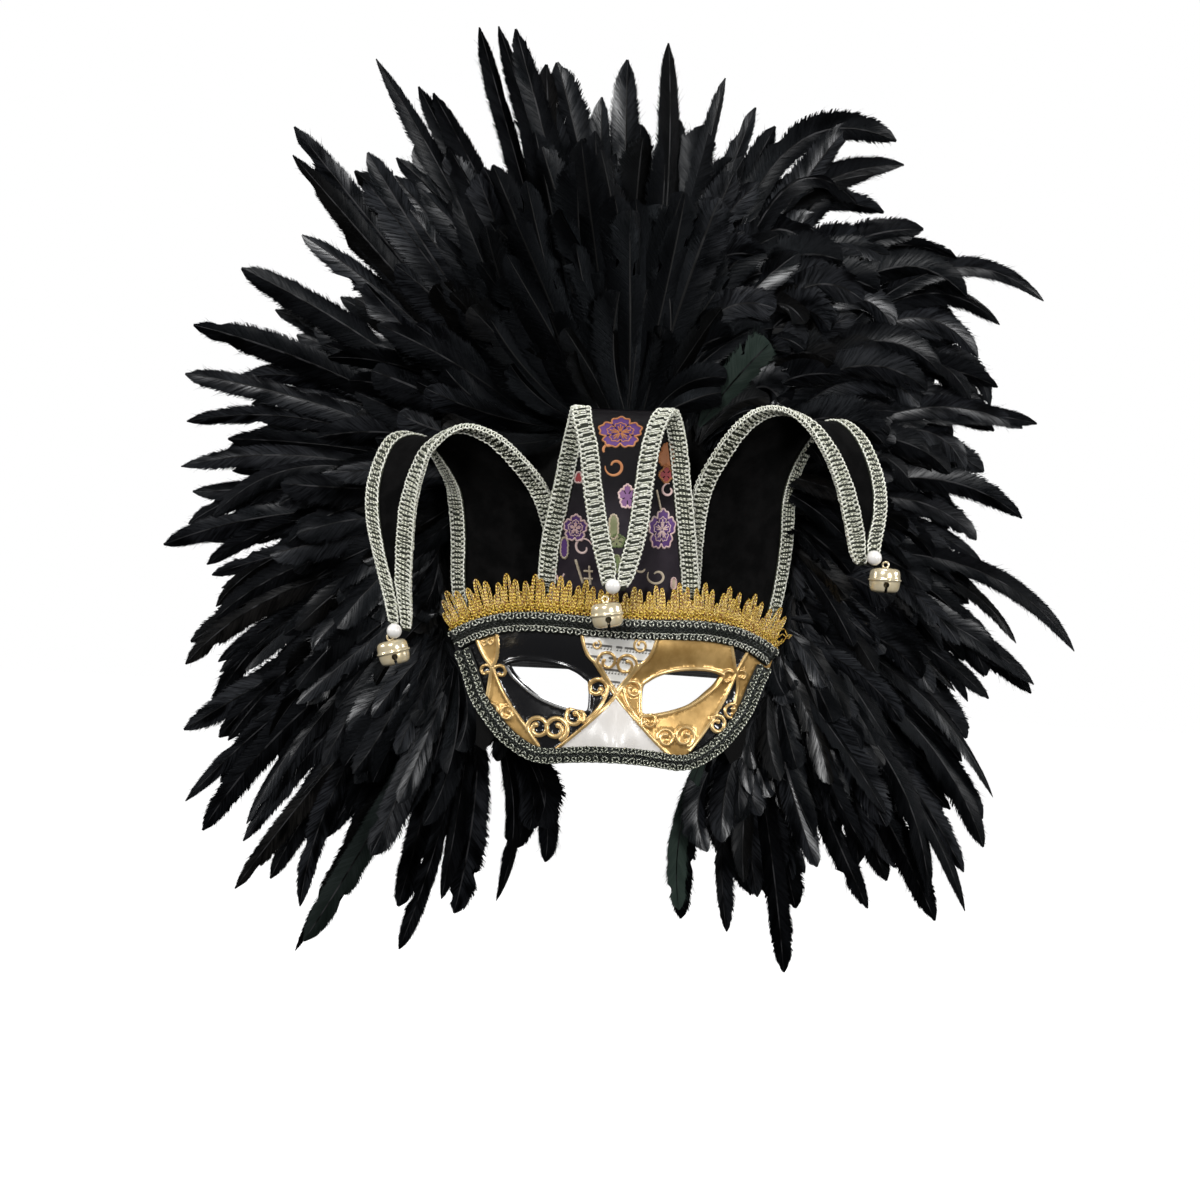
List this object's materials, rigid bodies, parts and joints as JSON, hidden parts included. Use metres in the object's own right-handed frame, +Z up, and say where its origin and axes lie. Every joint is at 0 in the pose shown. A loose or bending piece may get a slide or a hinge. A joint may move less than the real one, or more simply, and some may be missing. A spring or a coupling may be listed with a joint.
{
  "type": "feather masquerade mask",
  "caption": "Half-face jester mask with gold lace, bound fabric horns hung with pearls and bells, and a large fan of black feathers behind it.",
  "frame": {"origin": "where the inside of the mask sits on the bridge of the nose", "axes": "+Z up, the mask faces -Y, +X to the viewer's right"},
  "size_m": [0.4735, 0.2202, 0.4852],
  "materials": {
    "shell": "painted in satin gold, gloss black and white, with raised gold lines",
    "braid": "black gimp braid with silver-green metallic loops",
    "binding": "pale silver-green metallic gimp braid",
    "lace": "gold metallic cord lace",
    "brocade": "dark satin brocade with purple and copper flowers",
    "velvet": "black velvet",
    "pearl": "pearl white",
    "bell": "polished, pale gold",
    "feather": "black coque feathers with a cool sheen",
    "backing": "black stiff felt",
    "elastic": "black woven elastic"
  },
  "bodies": {
    "root": {"bell_center": "bell", "bell_left": "bell", "bell_right": "bell", "elastic_strap": "elastic", "face_shell": "shell", "feather_backing": "backing", "feathers_front_1": "feather", "feathers_front_2": "feather", "feathers_front_3": "feather", "feathers_front_4": "feather", "feathers_front_5": "feather", "feathers_front_6": "feather", "feathers_rear_1": "feather", "feathers_rear_2": "feather", "feathers_rear_3": "feather", "feathers_rear_4": "feather", "feathers_rear_5": "feather", "feathers_rear_6": "feather", "feathers_rear_7": "feather", "feathers_rear_8": "feather", "gold_lace": "lace", "horn_center": "brocade", "horn_center_binding_left": "binding", "horn_center_binding_right": "binding", "horn_left": "velvet", "horn_left_binding_back": "binding", "horn_left_binding_front": "binding", "horn_right": "velvet", "horn_right_binding_back": "binding", "horn_right_binding_front": "binding", "lower_braid": "braid", "pearl_center": "pearl", "pearl_left": "pearl", "pearl_right": "pearl", "top_braid": "braid"}
  },
  "joints": []
}
